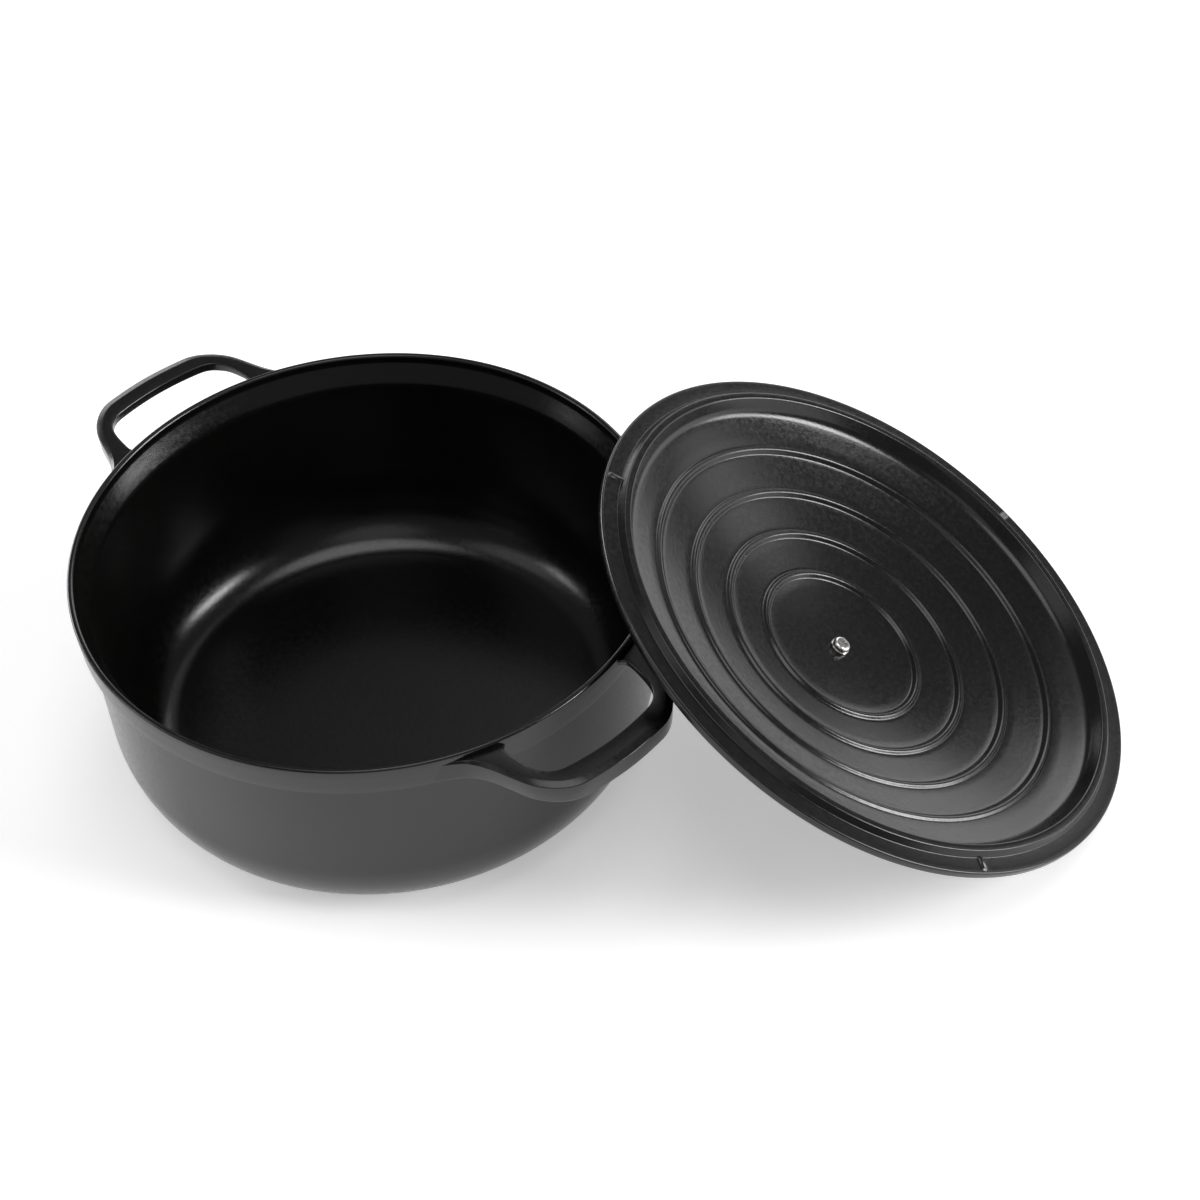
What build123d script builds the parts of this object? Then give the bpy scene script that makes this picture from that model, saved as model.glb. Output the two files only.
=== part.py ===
from build123d import *
import os
from math import cos, radians, sin, sqrt

# Round cast iron dutch oven, 28 cm class, with its lid turned over and leaning on the rim.
# Millimetres. Origin: centre of the pot's flat base, on the worktop. +Z is up, and +X runs
# along the pot's handle axis.

# ---- pot casting ----
POT_HEIGHT = 118.5
RIM_R = 145.0            # outer edge of the rim
RIM_LAND = 3.4           # flat top of the rim, measured radially
RIM_ROUND = 0.8          # cast rounding on the rim's two edges
SEAT_DEPTH = 4.0         # upright part of the recess that the lid's bead drops into
SEAT_TAPER = 7.0         # height over which the recess runs in to the cooking wall
BAND_HEIGHT = 15.3       # raised band under the rim
BAND_DRAFT = 1.0
BODY_TOP_R = 139.9       # outer wall just under the band
BODY_LOW_R = 138.4       # outer wall where the bottom corner starts
CORNER_RUN = 28.0        # bottom corner, measured along the base
CORNER_RISE = 40.0       # bottom corner, measured up the wall
WALL = 4.3
FLOOR = 5.2
INSIDE_CORNER = (26.5, 34.0)         # floor corner inside the pot: along the floor, up the wall
STEP_RUN = 2.2           # height of the slope under the band
QUARTER = 0.5523         # handle length that makes a Bezier a quarter ellipse

# ---- loop handles, cast with the pot ----
HANDLE_REACH = 184.6     # outermost edge, from the pot's axis
HANDLE_TOP = POT_HEIGHT - 3.6
HANDLE_THICK = 11.5
GRIP_INNER = 172.4       # finger side of the grip bar, from the pot's axis
GAP_HALF = 37.2          # half length of the finger gap
GAP_DEPTH = 2.2          # how far the gap is cut into the band before the wall is added
GAP_FAR_ROUND, GAP_NEAR_ROUND = 15.0, 5.5
KNUCKLE = (180.4, 38.9)  # corner of the grip bar, before rounding
NECK = (143.3, 49.8)     # where the side starts to flare
ROOT = ((126.5, 68.5), (134.5, 57.0))    # flare running out along the band
ROOT_INSIDE = (115.8, 61.0)
KNUCKLE_ROUND, NECK_ROUND, ROOT_ROUND = 26.0, 22.0, 16.0
EDGE_ROUND = 0.8         # rounding on the outer edges
GAP_LIP = 4.5            # thickness left round the finger gap
UNDERCUT = 5.8           # how far the sloping underside runs out from the gap

# ---- lid casting: z = 0 is the flange's sealing face, +z is the side that faces the food ----
LID_R = 149.7
FLANGE_THICK = 4.7
FLANGE_ROUND = 1.5
BEAD_IN, BEAD_OUT = 135.5, 138.7     # flat crest of the bead that drops inside the rim
BEAD_HEIGHT = 3.0
BEAD_FOOT = 140.6        # where the bead meets the flange
BEAD_ROUND = 0.9
DISH_R = 132.6           # edge of the dished inner face
DOME_R = 356.0           # radius of the dished face
DISH_DEPTH = 28.8        # depth of the dished face at the centre
LID_WALL = 3.6
RING_PITCH = 22.9        # spacing of the four basting rings
RING_FIRST = 43.7        # radius of the smallest basting ring
RING_COUNT = 4
RING_HEIGHT = 2.1
RING_HALF = 3.0
NIB_ANGLES = (52.5, 172.5, 292.5)
NIB_WIDTH = 3.0
NIB_HEIGHT = 1.1
BOSS_R = 8.0             # flat seat for the screw, cast into the dished face
BOSS_THICK = 1.6
SCREW_HOLE_R = 2.9

# ---- knob and its fixings, on the lid's axis ----
KNOB_R = 22.0
KNOB_HEIGHT = 27.0
KNOB_NECK_R = 13.0
COLLAR_R = 17.0
COLLAR_THICK = 1.6
INSERT_R = 5.0
INSERT_LENGTH = 14.0
THREAD_R = 2.5
WASHER_R = 5.0
WASHER_THICK = 0.8
HEAD_R = 4.6
HEAD_HEIGHT = 2.8
RECESS_DEPTH = 1.9
RECESS_LONG, RECESS_WIDE = 4.6, 1.0  # arms of the cross recess
FIT = 0.05               # small clearance between assembled pieces

# ---- where the lid rests ----
LEAN_TILT = 30.4         # of the lid's plane
LEAN_FACING = 44.5       # direction the lid leans away to, from +X
LEAN_REACH = 244.9       # lid centre from the pot's axis
LEAN_BEARING = 43.0      # direction of the lid centre, from +X
FLOOR_GAP = 0.1


def ring_z(r):
    """Height of the dished inner face at radius r, in the lid's own frame."""
    return -DISH_DEPTH + r * r / (2 * DOME_R)


def dome_z(r):
    """Height of the lid's outer face at radius r, in the lid's own frame."""
    return -DISH_DEPTH - LID_WALL + r * r / (2 * (DOME_R + LID_WALL))


SEAT_Z = ring_z(0) + 0.2          # flat that the washer sits on
BACK_Z = dome_z(0)                # outside of the lid at its centre


def revolved(lines):
    """Solid of revolution from a closed outline drawn in the XZ plane."""
    return revolve(make_face(lines), Axis.Z, 360)


def outer_shell():
    """The pot's outside: flat base, elliptical corner, drafted wall, band and rim."""
    k = QUARTER
    base_r = BODY_LOW_R - CORNER_RUN
    top, band_low = POT_HEIGHT, POT_HEIGHT - BAND_HEIGHT
    corner = Bezier(
        (base_r, 0, 0),
        (base_r + k * CORNER_RUN, 0, 0),
        (BODY_LOW_R, 0, CORNER_RISE * (1 - k)),
        (BODY_LOW_R, 0, CORNER_RISE),
    )
    edge = Polyline(
        (BODY_LOW_R, 0, CORNER_RISE),
        (BODY_TOP_R, 0, band_low - STEP_RUN),
        (RIM_R - BAND_DRAFT, 0, band_low),
        (RIM_R, 0, top),
        (0, 0, top),
        (0, 0, 0),
        (base_r, 0, 0),
    )
    return revolved([corner, edge])


def cavity():
    """The space inside: cooking wall, floor corner and the recess under the rim."""
    k = QUARTER
    low_r, top_r = BODY_LOW_R - WALL, BODY_TOP_R - WALL
    run, rise = INSIDE_CORNER
    floor_r = low_r - run
    seat_r = RIM_R - RIM_LAND
    seat_z = POT_HEIGHT - SEAT_DEPTH
    corner = Bezier(
        (floor_r, 0, FLOOR),
        (floor_r + k * run, 0, FLOOR),
        (low_r, 0, FLOOR + rise * (1 - k)),
        (low_r, 0, FLOOR + rise),
    )
    edge = Polyline(
        (low_r, 0, FLOOR + rise),
        (top_r, 0, seat_z - SEAT_TAPER),
        (seat_r, 0, seat_z),
        (seat_r, 0, POT_HEIGHT + 5),
        (0, 0, POT_HEIGHT + 5),
        (0, 0, FLOOR),
        (floor_r, 0, FLOOR),
    )
    return revolved([corner, edge])


def flipped(point):
    """The same plan point on the other side of the handle's centre line."""
    return (point[0], -point[1])


def handle_plan():
    """Plan of one loop handle on the +X side, and of its finger gap."""
    side = ROOT + (NECK, KNUCKLE)
    grip = ThreePointArc(KNUCKLE, (HANDLE_REACH, 0), flipped(KNUCKLE))
    flank = Polyline(ROOT[0], *side[1:])
    back = Polyline(flipped(ROOT[0]), flipped(ROOT_INSIDE), ROOT_INSIDE, ROOT[0])
    outline = make_face([flank, grip, Polyline(*[flipped(p) for p in reversed(side)]), back])
    for spot, radius in ((KNUCKLE, KNUCKLE_ROUND), (NECK, NECK_ROUND), (ROOT[1], ROOT_ROUND)):
        for y in (spot[1], -spot[1]):
            at = outline.vertices().sort_by_distance((spot[0], y, 0))[0]
            outline = fillet(at, radius)
    near, far = RIM_R - GAP_DEPTH, GRIP_INNER
    near_x = sqrt(near**2 - GAP_HALF**2)
    far_x = sqrt(far**2 - GAP_HALF**2)
    gap = make_face(
        [
            ThreePointArc((near_x, -GAP_HALF), (near, 0), (near_x, GAP_HALF)),
            Line((near_x, GAP_HALF), (far_x, GAP_HALF)),
            ThreePointArc((far_x, GAP_HALF), (far, 0), (far_x, -GAP_HALF)),
            Line((far_x, -GAP_HALF), (near_x, -GAP_HALF)),
        ]
    )
    gap = fillet(gap.vertices().group_by(Axis.X)[-1], GAP_FAR_ROUND)
    gap = fillet(gap.vertices().group_by(Axis.X)[0], GAP_NEAR_ROUND)
    return outline, gap


def handle():
    """One loop handle, from inside the pot's wall to the grip bar."""
    outline, gap = handle_plan()
    low = Plane.XY.offset(HANDLE_TOP - HANDLE_THICK)
    body = extrude(low * outline, HANDLE_THICK)
    rims = body.edges().filter_by(Plane.XY).filter_by(lambda e: e.center().X > ROOT[0][0])
    body = fillet(rims, EDGE_ROUND)
    funnel = extrude(low * gap, HANDLE_THICK)
    brim = funnel.faces().sort_by(Axis.Z)[0]
    wide = offset(brim, UNDERCUT, kind=Kind.ARC)
    return body - funnel - loft([wide, Pos(0, 0, HANDLE_THICK - GAP_LIP) * brim])


def make_pot():
    """The pot: body, band and both handles in one casting."""
    solid = outer_shell() + handle() + handle().rotate(Axis.Z, 180) - cavity()
    rim = solid.edges().filter_by(GeomType.CIRCLE).filter_by(
        lambda e: abs(e.center().Z - POT_HEIGHT) < 0.01
    )
    return fillet(rim, RIM_ROUND)


def ridge(r, foot, height, half):
    """Closed outline of a rounded ring standing on the face at radius r."""
    return [
        ThreePointArc(
            (r - half, 0, foot(r - half)), (r, 0, foot(r) + height), (r + half, 0, foot(r + half))
        ),
        Polyline(
            (r + half, 0, foot(r + half)),
            (r + half, 0, foot(r + half) - 1.5),
            (r - half, 0, foot(r - half) - 1.5),
            (r - half, 0, foot(r - half)),
        ),
    ]


def lid_blank():
    """Flange, bead and dished plate, turned about the lid's axis."""
    flange_in, dome_r = BEAD_FOOT + 3, BEAD_IN - 2
    dish = ThreePointArc(
        (0, 0, ring_z(0)), (DISH_R / 2, 0, ring_z(DISH_R / 2)), (DISH_R, 0, ring_z(DISH_R))
    )
    rim = Polyline(
        (DISH_R, 0, ring_z(DISH_R)),
        (BEAD_IN, 0, BEAD_HEIGHT),
        (BEAD_OUT, 0, BEAD_HEIGHT),
        (BEAD_FOOT, 0, 0),
        (LID_R, 0, 0),
        (LID_R, 0, -FLANGE_THICK),
        (flange_in, 0, -FLANGE_THICK),
        (dome_r, 0, dome_z(dome_r)),
    )
    dome = ThreePointArc(
        (dome_r, 0, dome_z(dome_r)), (dome_r / 2, 0, dome_z(dome_r / 2)), (0, 0, dome_z(0))
    )
    axis = Line((0, 0, dome_z(0)), (0, 0, ring_z(0)))
    return revolved([dish, rim, dome, axis])


def make_lid():
    """The lid: one casting with bead, nibs and basting rings."""
    solid = lid_blank()
    circles = solid.edges().filter_by(GeomType.CIRCLE)
    solid = fillet(circles.filter_by(lambda e: abs(e.radius - LID_R) < 0.01), FLANGE_ROUND)
    crest = solid.edges().filter_by(GeomType.CIRCLE).filter_by(
        lambda e: abs(e.center().Z - BEAD_HEIGHT) < 0.01
    )
    solid = fillet(crest, BEAD_ROUND)
    for i in range(RING_COUNT):
        solid += revolved(ridge(RING_FIRST + i * RING_PITCH, ring_z, RING_HEIGHT, RING_HALF))
    nib = Box(LID_R - FLANGE_ROUND - BEAD_OUT, NIB_WIDTH, 2 * NIB_HEIGHT)
    nib = fillet(nib.edges().filter_by(Axis.X), NIB_HEIGHT * 0.6)
    for angle in NIB_ANGLES:
        solid += (Pos((LID_R - FLANGE_ROUND + BEAD_OUT) / 2, 0, 0) * nib).rotate(Axis.Z, angle)
    solid += Pos(0, 0, SEAT_Z - BOSS_THICK / 2) * Cylinder(BOSS_R, BOSS_THICK)
    return solid - Pos(0, 0, ring_z(0)) * Cylinder(SCREW_HOLE_R, 40)


def make_screw_washer():
    """Flat washer between the screw head and the iron."""
    return Pos(0, 0, SEAT_Z + WASHER_THICK / 2) * (
        Cylinder(WASHER_R, WASHER_THICK) - Cylinder(THREAD_R + 0.25, 2 * WASHER_THICK)
    )


def make_knob_screw():
    """Pan-head screw with a cross recess, entering from the food side."""
    under = SEAT_Z + WASHER_THICK
    tip = BACK_Z - COLLAR_THICK - INSERT_LENGTH + 2
    head = Pos(0, 0, under + HEAD_HEIGHT / 2) * Cylinder(HEAD_R, HEAD_HEIGHT)
    head = fillet(head.edges().group_by(Axis.Z)[-1], HEAD_HEIGHT * 0.6)
    top = under + HEAD_HEIGHT
    deep = 2 * RECESS_DEPTH
    slot = Box(RECESS_LONG, RECESS_WIDE, deep) + Box(RECESS_WIDE, RECESS_LONG, deep)
    shank = Pos(0, 0, (under + tip) / 2) * Cylinder(THREAD_R, under - tip)
    shank = chamfer(shank.edges().group_by(Axis.Z)[0], 0.6)
    return head + shank - Pos(0, 0, top) * (slot + Cylinder(RECESS_WIDE, deep))


def make_knob_base():
    """Thin steel collar between the knob and the iron."""
    ring = Cylinder(COLLAR_R, COLLAR_THICK)
    ring = fillet(ring.edges().group_by(Axis.Z)[0], 0.7) - Cylinder(SCREW_HOLE_R, 2 * COLLAR_THICK)
    return Pos(0, 0, BACK_Z - COLLAR_THICK / 2) * ring


def make_knob_insert():
    """Threaded bush held in the knob."""
    top = BACK_Z - COLLAR_THICK
    body = Cylinder(INSERT_R, INSERT_LENGTH) - Cylinder(THREAD_R + FIT, 2 * INSERT_LENGTH)
    return Pos(0, 0, top - INSERT_LENGTH / 2) * body


def make_knob():
    """Waisted grip on the outside of the lid."""
    top = BACK_Z - COLLAR_THICK
    end = top - KNOB_HEIGHT
    wide = end + 0.36 * KNOB_HEIGHT
    neck = (KNOB_NECK_R, 0, top - 0.3 * KNOB_HEIGHT)
    foot = (COLLAR_R - 1.5, 0, top)
    brim = (KNOB_R - 5.5, 0, end + 1.0)
    skirt = Spline([foot, neck, (KNOB_R, 0, wide)], tangents=[(-0.5, 0, -1), (0, 0, -1)])
    shoulder = Spline([(KNOB_R, 0, wide), brim], tangents=[(0, 0, -1), (-1, 0, -0.12)])
    crown = Spline([brim, (0, 0, end)], tangents=[(-1, 0, -0.12), (-1, 0, 0)])
    close = Polyline((0, 0, end), (0, 0, top), foot)
    solid = revolved([skirt, shoulder, crown, close])
    return solid - Pos(0, 0, top - INSERT_LENGTH / 2) * Cylinder(INSERT_R, INSERT_LENGTH + 0.4)


def leaning(piece):
    """Move a lid piece from its own frame to where the lid rests."""
    tilt = radians(LEAN_TILT)
    run, drop = LID_R - FLANGE_ROUND, FLANGE_THICK - FLANGE_ROUND
    height = run * sin(tilt) + drop * cos(tilt) + FLANGE_ROUND + FLOOR_GAP
    x = LEAN_REACH * cos(radians(LEAN_BEARING))
    y = LEAN_REACH * sin(radians(LEAN_BEARING))
    turned = piece.rotate(Axis.Y, LEAN_TILT).rotate(Axis.Z, LEAN_FACING)
    return Pos(x, y, height) * turned


LID_PIECES = {
    "lid": make_lid,
    "knob_screw": make_knob_screw,
    "screw_washer": make_screw_washer,
    "knob_base": make_knob_base,
    "knob_insert": make_knob_insert,
    "knob": make_knob,
}

os.makedirs("parts", exist_ok=True)
export_step(make_pot(), "parts/pot.step")
for name, make in LID_PIECES.items():
    export_step(leaning(make()), f"parts/{name}.step")
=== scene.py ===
import bpy
from math import cos, pi, radians, sin, tan
from mathutils import Matrix, Vector
from mathutils.geometry import interpolate_bezier


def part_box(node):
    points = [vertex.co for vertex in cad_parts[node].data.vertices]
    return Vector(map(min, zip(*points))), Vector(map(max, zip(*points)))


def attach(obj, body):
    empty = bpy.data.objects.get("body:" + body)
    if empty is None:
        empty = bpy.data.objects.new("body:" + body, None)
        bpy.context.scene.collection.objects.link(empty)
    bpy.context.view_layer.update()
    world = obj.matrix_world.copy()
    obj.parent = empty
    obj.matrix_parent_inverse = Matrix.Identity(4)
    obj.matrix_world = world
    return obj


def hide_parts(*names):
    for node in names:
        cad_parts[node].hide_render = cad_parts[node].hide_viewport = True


# Looks for the cast iron dutch oven: both castings are rebuilt as smooth meshes with their cast
# rounding, then everything gets its material, on a pale floor under soft light.
# Sizes below are in millimetres; MM turns them into metres when a mesh is made.

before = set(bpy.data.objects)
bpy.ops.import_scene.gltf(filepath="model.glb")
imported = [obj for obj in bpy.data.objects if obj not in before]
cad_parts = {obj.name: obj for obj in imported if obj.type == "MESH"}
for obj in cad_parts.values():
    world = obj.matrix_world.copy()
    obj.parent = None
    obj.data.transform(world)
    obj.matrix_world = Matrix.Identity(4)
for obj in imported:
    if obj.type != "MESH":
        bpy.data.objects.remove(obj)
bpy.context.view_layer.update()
MM = 0.001
TURN_STEPS = 360

# ---------------------------------------------------------------- driving sizes
pot_low, pot_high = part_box("pot")
POT_HEIGHT = pot_high[2] / MM
RIM_R = (pot_high[1] - pot_low[1]) / 2 / MM
HANDLE_REACH = (pot_high[0] - pot_low[0]) / 2 / MM

RIM_LAND = 3.4
SEAT_DEPTH, SEAT_TAPER = 4.0, 11.0
BAND_HEIGHT, BAND_DRAFT, BAND_STEP = 15.3, 1.0, 2.2
BODY_TOP_R, BODY_LOW_R = 139.9, 138.4
CORNER_RUN, CORNER_RISE = 28.0, 40.0
INSIDE_SHIFT, INSIDE_LIFT = 1.5, 3     # how the inside corner differs from the outside one
CORNER_STEPS = 26
WALL, FLOOR = 4.3, 5.2

HANDLE_TOP = POT_HEIGHT - 3.6
HANDLE_LOW = HANDLE_TOP - 11.5
GRIP_INNER = 172.2
GRIP_START, GRIP_BLEND = 150, 25       # where the root turns into the grip bar, going outwards
GAP_LIP = (2.9, 4.7)                   # thickness round the finger gap: at the root, at the grip
STRIP_ROOT, STRIP_GROWTH = 2.6, 1.6    # width of the narrow strip along the outer edge
STRIP_DROP = 1.1                       # fall of that strip
UNDERSIDE_OUT, UNDERSIDE_UP = 0.5, 0.42   # bend of the underside, as shares of width and height
CURVE_STEPS = 12

LID_R, FLANGE_THICK = 149.5, 4.7
BEAD_IN, BEAD_OUT, BEAD_FOOT, BEAD_HEIGHT = 135.3, 138.8, 140.9, 3.0
DISH_R, DISH_DEPTH, DOME_R = 131.6, 28.8, 356.0
DISH_BLEND, DOME_EDGE = 4, 126         # where the dish starts to turn up, where the dome ends
LID_WALL = 3.6
RINGS = [43.7 + 22.9 * i for i in range(4)]
RING_HEIGHT, RING_HALF, RING_FLAT = 1.5, 2.8, 0.12
RING_CLEAR, RING_STEPS = 0.6, 10
PROFILE_STEP = 6
NIBS = (52.5, 172.5, 292.5)            # directions in degrees
NIB_HEIGHT, NIB_HALF, NIB_END = 1.0, 1.6, 147.2

LEAN_TILT, LEAN_FACING = 30.4, 44.5
LEAN_REACH, LEAN_BEARING = 244.9, 43.0
FLANGE_ROUND, FLOOR_GAP = 1.5, 0.1

FLOOR_HALF, FLOOR_DROP = 6000, 0.5
FLOOR_GLOW, SKY_STRENGTH = 0.39, 0.18

# Each softbox: bearing, height and apparent width in degrees, then strength.
LIGHTS = (
    (0, 86, 36, 0.70),      # overhead
    (40, 28, 26, 2.50),     # main light, behind the lid
    (50, 9, 20, 0.90),
    (120, 28, 26, 0.40),
    (110, 9, 20, 0.15),
    (192, 8, 32, 1.70),     # low, to the left
    (165, 9, 24, 0.30),
    (235, 9, 20, 0.12),
    (230, 29, 14, 0.25),    # narrow one for the line along the rim
    (77, 15, 14, 0.07),     # narrow one for the lid's flange
    (240, 50, 30, 0.16),
    (320, 50, 30, 0.12),
    (120, 50, 30, 0.09),
)

# The camera's places are in metres, its roll in degrees, its lens and film in millimetres.
CAMERA_PLACE, CAMERA_AIM = Vector((0.7354, -0.4925, 0.9676)), Vector((0.0201, 0.1306, 0))
CAMERA_ROLL, CAMERA_LENS, CAMERA_FILM = -2.97, 75.57, 36


# ---------------------------------------------------------------- outline and mesh helpers
def rounded(points, steps=6):
    """Points of an open (r, z) outline whose corners are rounded: each point is (r, z, radius)."""
    out = []
    for i, (x, y, radius) in enumerate(points):
        here = Vector((x, y))
        if radius == 0 or i in (0, len(points) - 1):
            out.append(here)
            continue
        a = (Vector(points[i - 1][:2]) - here).normalized()
        b = (Vector(points[i + 1][:2]) - here).normalized()
        half = a.angle(b) / 2
        run = radius / tan(half)
        centre = here + (a + b).normalized() * (radius / sin(half))
        start, end = here + a * run - centre, here + b * run - centre
        turn = start.angle_signed(end)
        for k in range(steps + 1):
            out.append(centre + Matrix.Rotation(-turn * k / steps, 2) @ start)
    return out


def split_long(outline, longest):
    """The same outline with its long runs divided, so that the grid stays even."""
    out = [outline[0]]
    for a, b in zip(outline, outline[1:]):
        n = max(1, round((b - a).length / longest))
        out += [a.lerp(b, k / n) for k in range(1, n + 1)]
    return out


def mesh_object(name, verts, faces):
    """A smooth-shaded object from vertices in millimetres."""
    data = bpy.data.meshes.new(name)
    data.from_pydata([[c * MM for c in v] for v in verts], [], faces)
    data.update()
    data.shade_smooth()
    piece = bpy.data.objects.new(name, data)
    bpy.context.collection.objects.link(piece)
    return piece


def turned(name, outline, angles, lift=None):
    """Closed solid of revolution from an outline that starts and ends on the axis.

    lift(r, z, angle) may move a point along the axis, for what is not the same all round."""
    ring = outline[1:-1]
    n, m = len(angles), len(ring)
    verts, faces = [], []
    for angle in angles:
        for p in ring:
            z = p.y + (lift(p.x, p.y, angle) if lift else 0)
            verts.append((p.x * cos(angle), p.x * sin(angle), z))
    first, last = len(verts), len(verts) + 1
    verts += [(0, 0, outline[0].y), (0, 0, outline[-1].y)]
    for i in range(n):
        a, b = i * m, (i + 1) % n * m
        faces += [(a + k, b + k, b + k + 1, a + k + 1) for k in range(m - 1)]
        faces += [(first, b, a), (last, a + m - 1, b + m - 1)]
    return mesh_object(name, verts, faces)


def even_angles(count, dense=(), half_width=1.6, extra=12):
    """Angles round a full turn, with more of them near the given directions in degrees."""
    angles = {round(360 * i / count, 4) for i in range(count)}
    for d in dense:
        steps = [d - half_width + 2 * half_width * k / extra for k in range(extra + 1)]
        angles |= {round(step % 360, 4) for step in steps}
    kept = []
    for a in sorted(angles):
        if not kept or a - kept[-1] > 0.05:
            kept.append(a)
    return [radians(a) for a in kept]


def ridge(t, flat):
    """Height of a ridge with a flat top: 1 while |t| < flat, falling smoothly to 0 at |t| = 1."""
    t = min(1.0, max(0.0, (1 - abs(t)) / (1 - flat)))
    return t * t * (3 - 2 * t)


# ---------------------------------------------------------------- the pot casting
def corner_curve(r_in, z_low, r_out, z_high):
    """Quarter ellipse from the floor out and up to the wall."""
    run, rise = r_out - r_in, z_high - z_low
    return [
        (r_in + run * sin(a), z_high - rise * cos(a), 0)
        for a in (pi / 2 * k / CORNER_STEPS for k in range(CORNER_STEPS + 1))
    ]


def pot_outline():
    """Half section of the pot's body, from the axis under the base round to the axis inside."""
    low_r, top_r = BODY_LOW_R - WALL, BODY_TOP_R - WALL
    seat_r, seat_z = RIM_R - RIM_LAND, POT_HEIGHT - SEAT_DEPTH
    band_low = POT_HEIGHT - BAND_HEIGHT
    outside = [(0, 0, 0)]
    outside += corner_curve(BODY_LOW_R - CORNER_RUN, 0, BODY_LOW_R, CORNER_RISE)
    outside += [
        (BODY_TOP_R, band_low - BAND_STEP, 1.2),
        (RIM_R - BAND_DRAFT, band_low, 0.6),
        (RIM_R, POT_HEIGHT, 1.3),
        (seat_r, POT_HEIGHT, 1.5),
        (seat_r, seat_z, 4.0),
        (top_r, seat_z - SEAT_TAPER, 9.0),
    ]
    inside_top = FLOOR + CORNER_RISE + INSIDE_LIFT
    inside = corner_curve(low_r - CORNER_RUN + INSIDE_SHIFT, FLOOR, low_r, inside_top)
    return split_long(rounded(outside + inside[::-1] + [(0, FLOOR, 0)]), 4.0)


def curve_through(knots, steps):
    """Smooth plan curve: knots are (x, y, direction in degrees, reach back, reach on)."""
    out = []
    for (x0, y0, d0, _, on), (x1, y1, d1, back, _) in zip(knots, knots[1:]):
        a, b = Vector((x0, y0, 0)), Vector((x1, y1, 0))
        ha = a + Vector((cos(radians(d0)), sin(radians(d0)), 0)) * on
        hb = b - Vector((cos(radians(d1)), sin(radians(d1)), 0)) * back
        out += interpolate_bezier(a, ha, hb, b, steps)[:-1]
    return out + [Vector((knots[-1][0], knots[-1][1], 0))]


def handle_section(width, strip, lip):
    """Cross-section of the loop: (distance out from the finger side, height).

    Flat top, a narrow strip that falls to the outer edge, a tall outer wall, and an underside
    that rises to the thin lip on the finger side."""
    low, top = HANDLE_LOW, HANDLE_TOP
    bend = (width * UNDERSIDE_OUT, low + (top - lip - low) * UNDERSIDE_UP, 0)
    corners = [
        bend,
        (width - 1.6, low, 1.4),
        (width - 0.65, low, 1.0),
        (width, top - STRIP_DROP, 0.5),
        (width - strip, top, 1.2),
        (0, top, 0.9),
        (0.25, top - lip, 1.1),
        bend,
    ]
    return rounded(corners, 4)[:-1]


def make_handle(name, side):
    """One loop handle, swept from one root to the other round its finger gap."""
    outer = curve_through(
        [
            (126.0, 69.5, -56, 0, 5),
            (135.0, 56.8, -50, 5, 4),
            (147.0, 49.6, -21, 5, 5),
            (164.0, 44.0, -21, 5, 9.0),
            (182.6, 23.5, -82.0, 9.0, 8),
            (HANDLE_REACH - 0.05, 0, -90, 8, 0),
        ],
        CURVE_STEPS,
    )
    inner = curve_through(
        [
            (139.4, 31.5, 86, 0, 2),
            (141.4, 36.6, 50, 2, 2),
            (146.5, 38.0, -3, 2.5, 3),
            (156.3, 37.0, -9, 3, 7),
            (169.8, 25.4, -79, 7, 8),
            (GRIP_INNER, 0, -90, 8, 0),
        ],
        CURVE_STEPS,
    )
    pairs = list(zip(inner, outer))
    pairs += [(Vector((a.x, -a.y, 0)), Vector((b.x, -b.y, 0))) for a, b in pairs[-2::-1]]
    verts, faces = [], []
    for a, b in pairs:
        across = b - a
        width = across.length
        along = across / width
        grip = min(1.0, max(0.0, (b.x - GRIP_START) / GRIP_BLEND))
        lip = GAP_LIP[0] + (GAP_LIP[1] - GAP_LIP[0]) * grip
        section = handle_section(width, STRIP_ROOT + STRIP_GROWTH * grip, lip)
        for p in section:
            q = a + along * p.x
            verts.append((q.x * side, q.y, p.y))
    m, n = len(section), len(pairs)
    for i in range(n - 1):
        for k in range(m):
            quad = (i * m + k, i * m + (k + 1) % m, (i + 1) * m + (k + 1) % m, (i + 1) * m + k)
            faces.append(quad if side > 0 else quad[::-1])
    caps = [tuple(range(m))[::-1], tuple(range((n - 1) * m, n * m))]
    faces += caps if side > 0 else [c[::-1] for c in caps]
    return mesh_object(name, verts, faces)


# ---------------------------------------------------------------- the lid casting
def dish_z(r):
    """Height of the inner face, with the basting rings on it."""
    z = -DISH_DEPTH + r * r / (2 * DOME_R)
    return z + sum(RING_HEIGHT * ridge((r - ring) / RING_HALF, RING_FLAT) for ring in RINGS)


def dome_z(r):
    """Height of the outer face."""
    return -DISH_DEPTH - LID_WALL + r * r / (2 * (DOME_R + LID_WALL))


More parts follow.
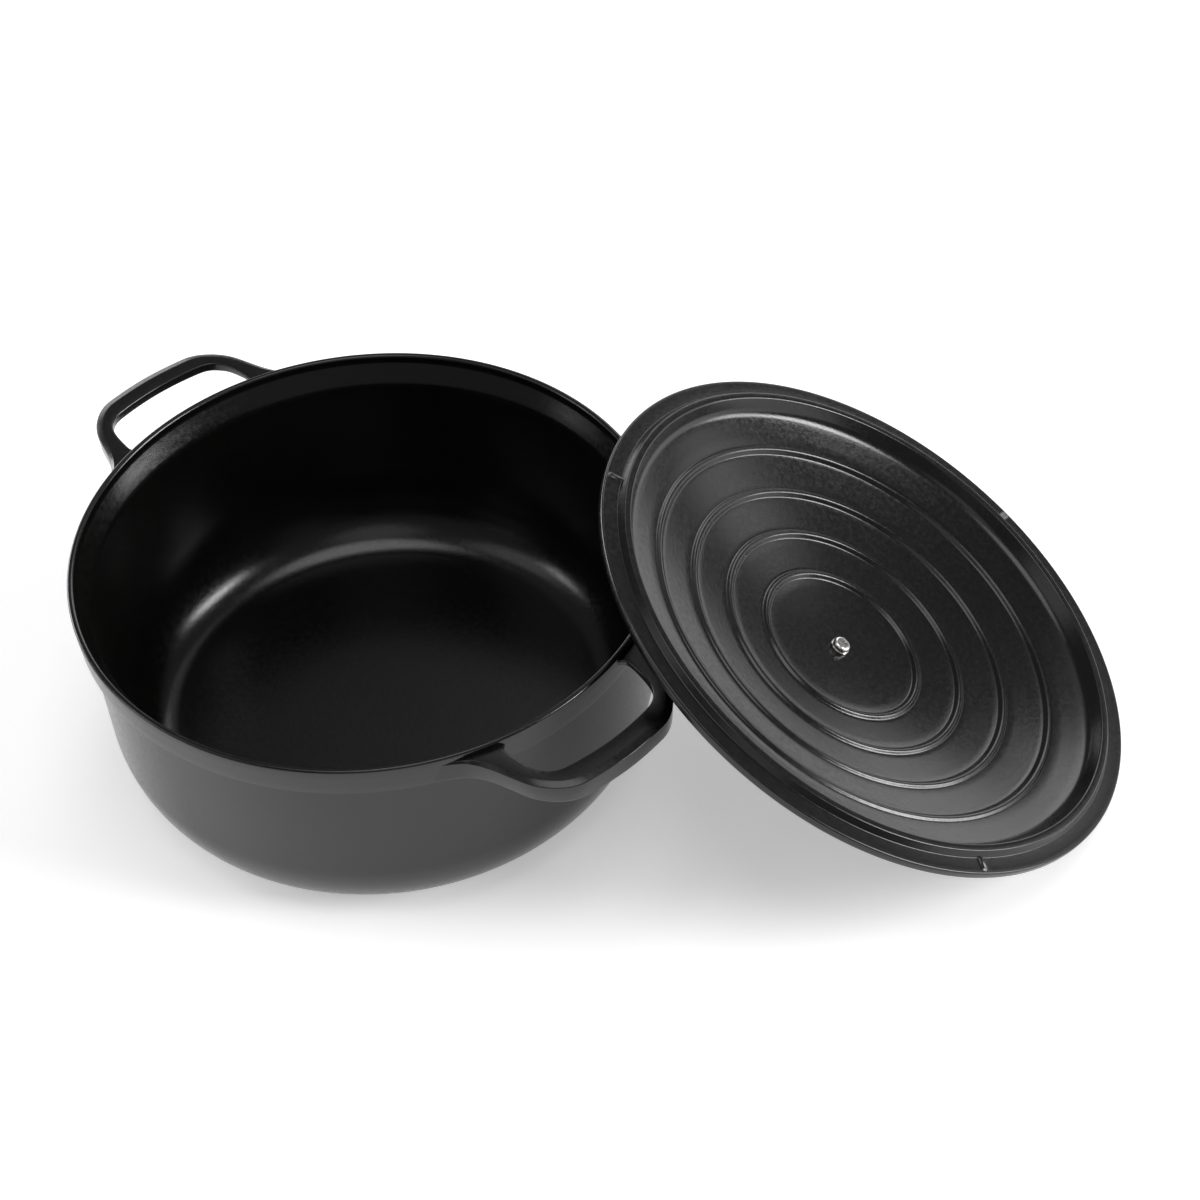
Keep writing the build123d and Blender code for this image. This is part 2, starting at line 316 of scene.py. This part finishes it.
def lid_outline():
    """Half section of the lid from the axis inside, over bead and flange, to the axis outside."""
    radii = range(0, DOME_EDGE + 1, PROFILE_STEP)
    for ring in RINGS:
        radii = [r for r in radii if abs(r - ring) > RING_HALF + RING_CLEAR]
        radii += [ring + RING_HALF * k / RING_STEPS for k in range(-RING_STEPS, RING_STEPS + 1)]
    inside = [(r, dish_z(r), 0) for r in sorted(radii) if r < DISH_R - DISH_BLEND]
    rim = [
        (DISH_R, dish_z(DISH_R), 7.0),
        (BEAD_IN, BEAD_HEIGHT, 1.3),
        (BEAD_OUT, BEAD_HEIGHT, 0.9),
        (BEAD_FOOT, 0, 0.7),
        (NIB_END - 0.5, 0, 0),
        (NIB_END, 0, 0),
        (LID_R, 0, 0.9),
        (LID_R, -FLANGE_THICK, 1.5),
        (BEAD_FOOT + 3, -FLANGE_THICK, 3.0),
        (BEAD_IN - 2, dome_z(BEAD_IN - 2), 8.0),
    ]
    outside = [(r, dome_z(r), 0) for r in range(DOME_EDGE, -1, -PROFILE_STEP)]
    return split_long(rounded(inside + rim + outside, 5), PROFILE_STEP)


def nib_lift(r, z, angle):
    """Three small ribs, from the bead out over most of the flange, that centre the lid."""
    if r < BEAD_FOOT or r > NIB_END - 0.2 or z < -FLANGE_THICK / 2:
        return 0
    offsets = [((angle - radians(n) + pi) % (2 * pi) - pi) * r for n in NIBS]
    return NIB_HEIGHT * max(ridge(d / NIB_HALF, 0.5) for d in offsets)


def lean_matrix():
    """Where the lid rests: turned over, one edge on the floor, its back against the rim."""
    tilt, bearing = radians(LEAN_TILT), radians(LEAN_BEARING)
    run, drop = LID_R - FLANGE_ROUND, FLANGE_THICK - FLANGE_ROUND
    height = run * sin(tilt) + drop * cos(tilt) + FLANGE_ROUND + FLOOR_GAP
    place = Vector((LEAN_REACH * cos(bearing), LEAN_REACH * sin(bearing), height)) * MM
    turn = Matrix.Rotation(radians(LEAN_FACING), 4, "Z") @ Matrix.Rotation(tilt, 4, "Y")
    return Matrix.Translation(place) @ turn


# ---------------------------------------------------------------- materials
def material(name):
    """A new node material: returns it, its tree and its shader."""
    mat = bpy.data.materials.new(name)
    mat.use_nodes = True
    tree = mat.node_tree
    return mat, tree, tree.nodes["Principled BSDF"]


def node(tree, kind, **values):
    """A node with its properties or its unlinked inputs set by name."""
    made = tree.nodes.new(kind)
    for key, value in values.items():
        if hasattr(made, key):
            setattr(made, key, value)
        else:
            made.inputs[key.replace("_", " ")].default_value = value
    return made


def noise(tree, where, scale, detail=3.0, rough=0.55):
    """Fac of a noise texture in object space."""
    n = node(tree, "ShaderNodeTexNoise", Scale=scale, Detail=detail, Roughness=rough)
    tree.links.new(where, n.inputs["Vector"])
    return n.outputs["Fac"]


def spread(tree, value, low, high, to_low, to_high):
    """Map a value from one range to another, held at both ends."""
    m = node(tree, "ShaderNodeMapRange", clamp=True)
    tree.links.new(value, m.inputs["Value"])
    for key, v in zip(("From Min", "From Max", "To Min", "To Max"), (low, high, to_low, to_high)):
        m.inputs[key].default_value = v
    return m.outputs["Result"]


def blend_colour(tree, amount, a, b):
    """Mix two colours by a value."""
    m = node(tree, "ShaderNodeMix", data_type="RGBA")
    tree.links.new(amount, m.inputs["Factor"])
    m.inputs[6].default_value = (*a, 1)
    m.inputs[7].default_value = (*b, 1)
    return m.outputs[2]


def bumped(tree, shader, layers):
    """Stack bump layers: (height value, strength, distance in metres)."""
    previous = None
    for height, strength, distance in layers:
        b = node(tree, "ShaderNodeBump", Strength=strength, Distance=distance)
        tree.links.new(height, b.inputs["Height"])
        if previous:
            tree.links.new(previous, b.inputs["Normal"])
        previous = b.outputs["Normal"]
    tree.links.new(previous, shader.inputs["Normal"])


def cast_iron():
    """Black seasoned casting: orange-peel skin over fine sand grain, uneven satin."""
    mat, tree, shader = material("cast_iron_black")
    where = node(tree, "ShaderNodeTexCoord").outputs["Object"]
    peel = noise(tree, where, 420, 2.0, 0.5)
    sand = noise(tree, where, 1500, 3.0, 0.6)
    broad = noise(tree, where, 14, 3.0, 0.6)
    patches = spread(tree, broad, 0.35, 0.65, 0, 1)
    shade = blend_colour(tree, patches, (0.0016, 0.0016, 0.0015), (0.0030, 0.0030, 0.0028))
    tree.links.new(shade, shader.inputs["Base Color"])
    tree.links.new(spread(tree, peel, 0.3, 0.7, 0.17, 0.26), shader.inputs["Roughness"])
    shader.inputs["Specular IOR Level"].default_value = 0.5
    bumped(tree, shader, [(peel, 0.18, 0.0002), (sand, 0.35, 0.0001)])
    return mat


def turned_metal(name, rough, shade):
    """Turned bare metal with fine marks."""
    mat, tree, shader = material(name)
    where = node(tree, "ShaderNodeTexCoord").outputs["Object"]
    marks = noise(tree, where, 2600, 4.0, 0.6)
    cloud = noise(tree, where, 260, 3.0, 0.6)
    tone = blend_colour(tree, cloud, [c * 0.88 for c in shade], shade)
    gloss = spread(tree, cloud, 0.3, 0.7, rough - 0.05, rough + 0.07)
    tree.links.new(tone, shader.inputs["Base Color"])
    tree.links.new(gloss, shader.inputs["Roughness"])
    shader.inputs["Metallic"].default_value = 1.0
    bumped(tree, shader, [(marks, 0.15, 0.00005)])
    return mat


def moulded_resin():
    """Black moulded knob: even satin with a faint mottled skin."""
    mat, tree, shader = material("knob_resin_black")
    where = node(tree, "ShaderNodeTexCoord").outputs["Object"]
    skin = noise(tree, where, 900, 2.0, 0.5)
    cloud = noise(tree, where, 60, 3.0, 0.6)
    tone = blend_colour(tree, cloud, (0.010, 0.010, 0.010), (0.018, 0.017, 0.016))
    tree.links.new(tone, shader.inputs["Base Color"])
    tree.links.new(spread(tree, cloud, 0.3, 0.7, 0.24, 0.32), shader.inputs["Roughness"])
    bumped(tree, shader, [(skin, 0.12, 0.00008)])
    return mat


def dress(piece, mat):
    """Give a piece one material."""
    piece.data.materials.clear()
    piece.data.materials.append(mat)


# ---------------------------------------------------------------- build
iron, resin = cast_iron(), moulded_resin()
bright = turned_metal("steel_screw", 0.22, (0.78, 0.77, 0.75))
dull = turned_metal("steel_collar", 0.3, (0.62, 0.61, 0.60))
brass = turned_metal("brass_insert", 0.3, (0.72, 0.52, 0.24))

body = turned("pot_body", pot_outline(), even_angles(TURN_STEPS))
handles = [make_handle("handle_right", 1), make_handle("handle_left", -1)]
for piece in [body] + handles:
    dress(piece, iron)
    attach(piece, "pot")
    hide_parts("pot")

lid = turned("lid_casting", lid_outline(), even_angles(TURN_STEPS, NIBS), nib_lift)
lid.data.transform(lean_matrix())
dress(lid, iron)
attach(lid, "lid")
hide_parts("lid")

for name, mat in (
    ("knob", resin), ("knob_insert", brass), ("knob_base", dull),
    ("knob_screw", bright), ("screw_washer", bright),
):
    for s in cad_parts[name].material_slots:
        s.material = mat


# ---------------------------------------------------------------- floor, light, camera
def make_floor():
    """Large pale floor, a hair below the pot's base; its glow keeps the shadows light."""
    half = FLOOR_HALF
    corners = [(-half, -half, 0), (half, -half, 0), (half, half, 0), (-half, half, 0)]
    floor = mesh_object("floor", corners, [(0, 1, 2, 3)])
    mat, tree, shader = material("floor_white")
    where = node(tree, "ShaderNodeTexCoord").outputs["Object"]
    tone = blend_colour(tree, noise(tree, where, 3, 2.0), (0.86, 0.86, 0.86), (0.88, 0.88, 0.88))
    tree.links.new(tone, shader.inputs["Base Color"])
    shader.inputs["Roughness"].default_value = 0.9
    shader.inputs["Emission Color"].default_value = (1, 1, 1, 1)
    shader.inputs["Emission Strength"].default_value = FLOOR_GLOW
    dress(floor, mat)
    floor.location.z = -FLOOR_DROP * MM


def softbox(bearing, height, spread, strength):
    """Far round soft light: where it stands as seen from the object, in degrees, how wide it
    looks, and how strong it is."""
    data = bpy.data.lights.new("softbox", "SUN")
    data.angle, data.energy = radians(spread), strength
    lamp = bpy.data.objects.new("softbox", data)
    b, h = radians(bearing), radians(height)
    from_light = Vector((cos(b) * cos(h), sin(b) * cos(h), sin(h)))
    lamp.rotation_euler = from_light.to_track_quat("Z", "Y").to_euler()
    bpy.context.collection.objects.link(lamp)


def make_sky():
    """Dim, even surround."""
    world = bpy.data.worlds.new("studio")
    bpy.context.scene.world = world
    world.use_nodes = True
    background = world.node_tree.nodes["Background"]
    background.inputs["Color"].default_value = (1, 1, 1, 1)
    background.inputs["Strength"].default_value = SKY_STRENGTH


def make_camera():
    """Camera that looks down at the pot and the leaning lid."""
    data = bpy.data.cameras.new("camera")
    data.sensor_width = CAMERA_FILM
    data.lens = CAMERA_LENS
    cam = bpy.data.objects.new("camera", data)
    look = (CAMERA_AIM - CAMERA_PLACE).to_track_quat("-Z", "Y").to_matrix().to_4x4()
    roll = Matrix.Rotation(radians(CAMERA_ROLL), 4, "Z")
    cam.matrix_world = Matrix.Translation(CAMERA_PLACE) @ look @ roll
    bpy.context.collection.objects.link(cam)
    bpy.context.scene.camera = cam


make_floor()
make_sky()
for light in LIGHTS:
    softbox(*light)
make_camera()
bpy.context.scene.view_settings.view_transform = "Standard"
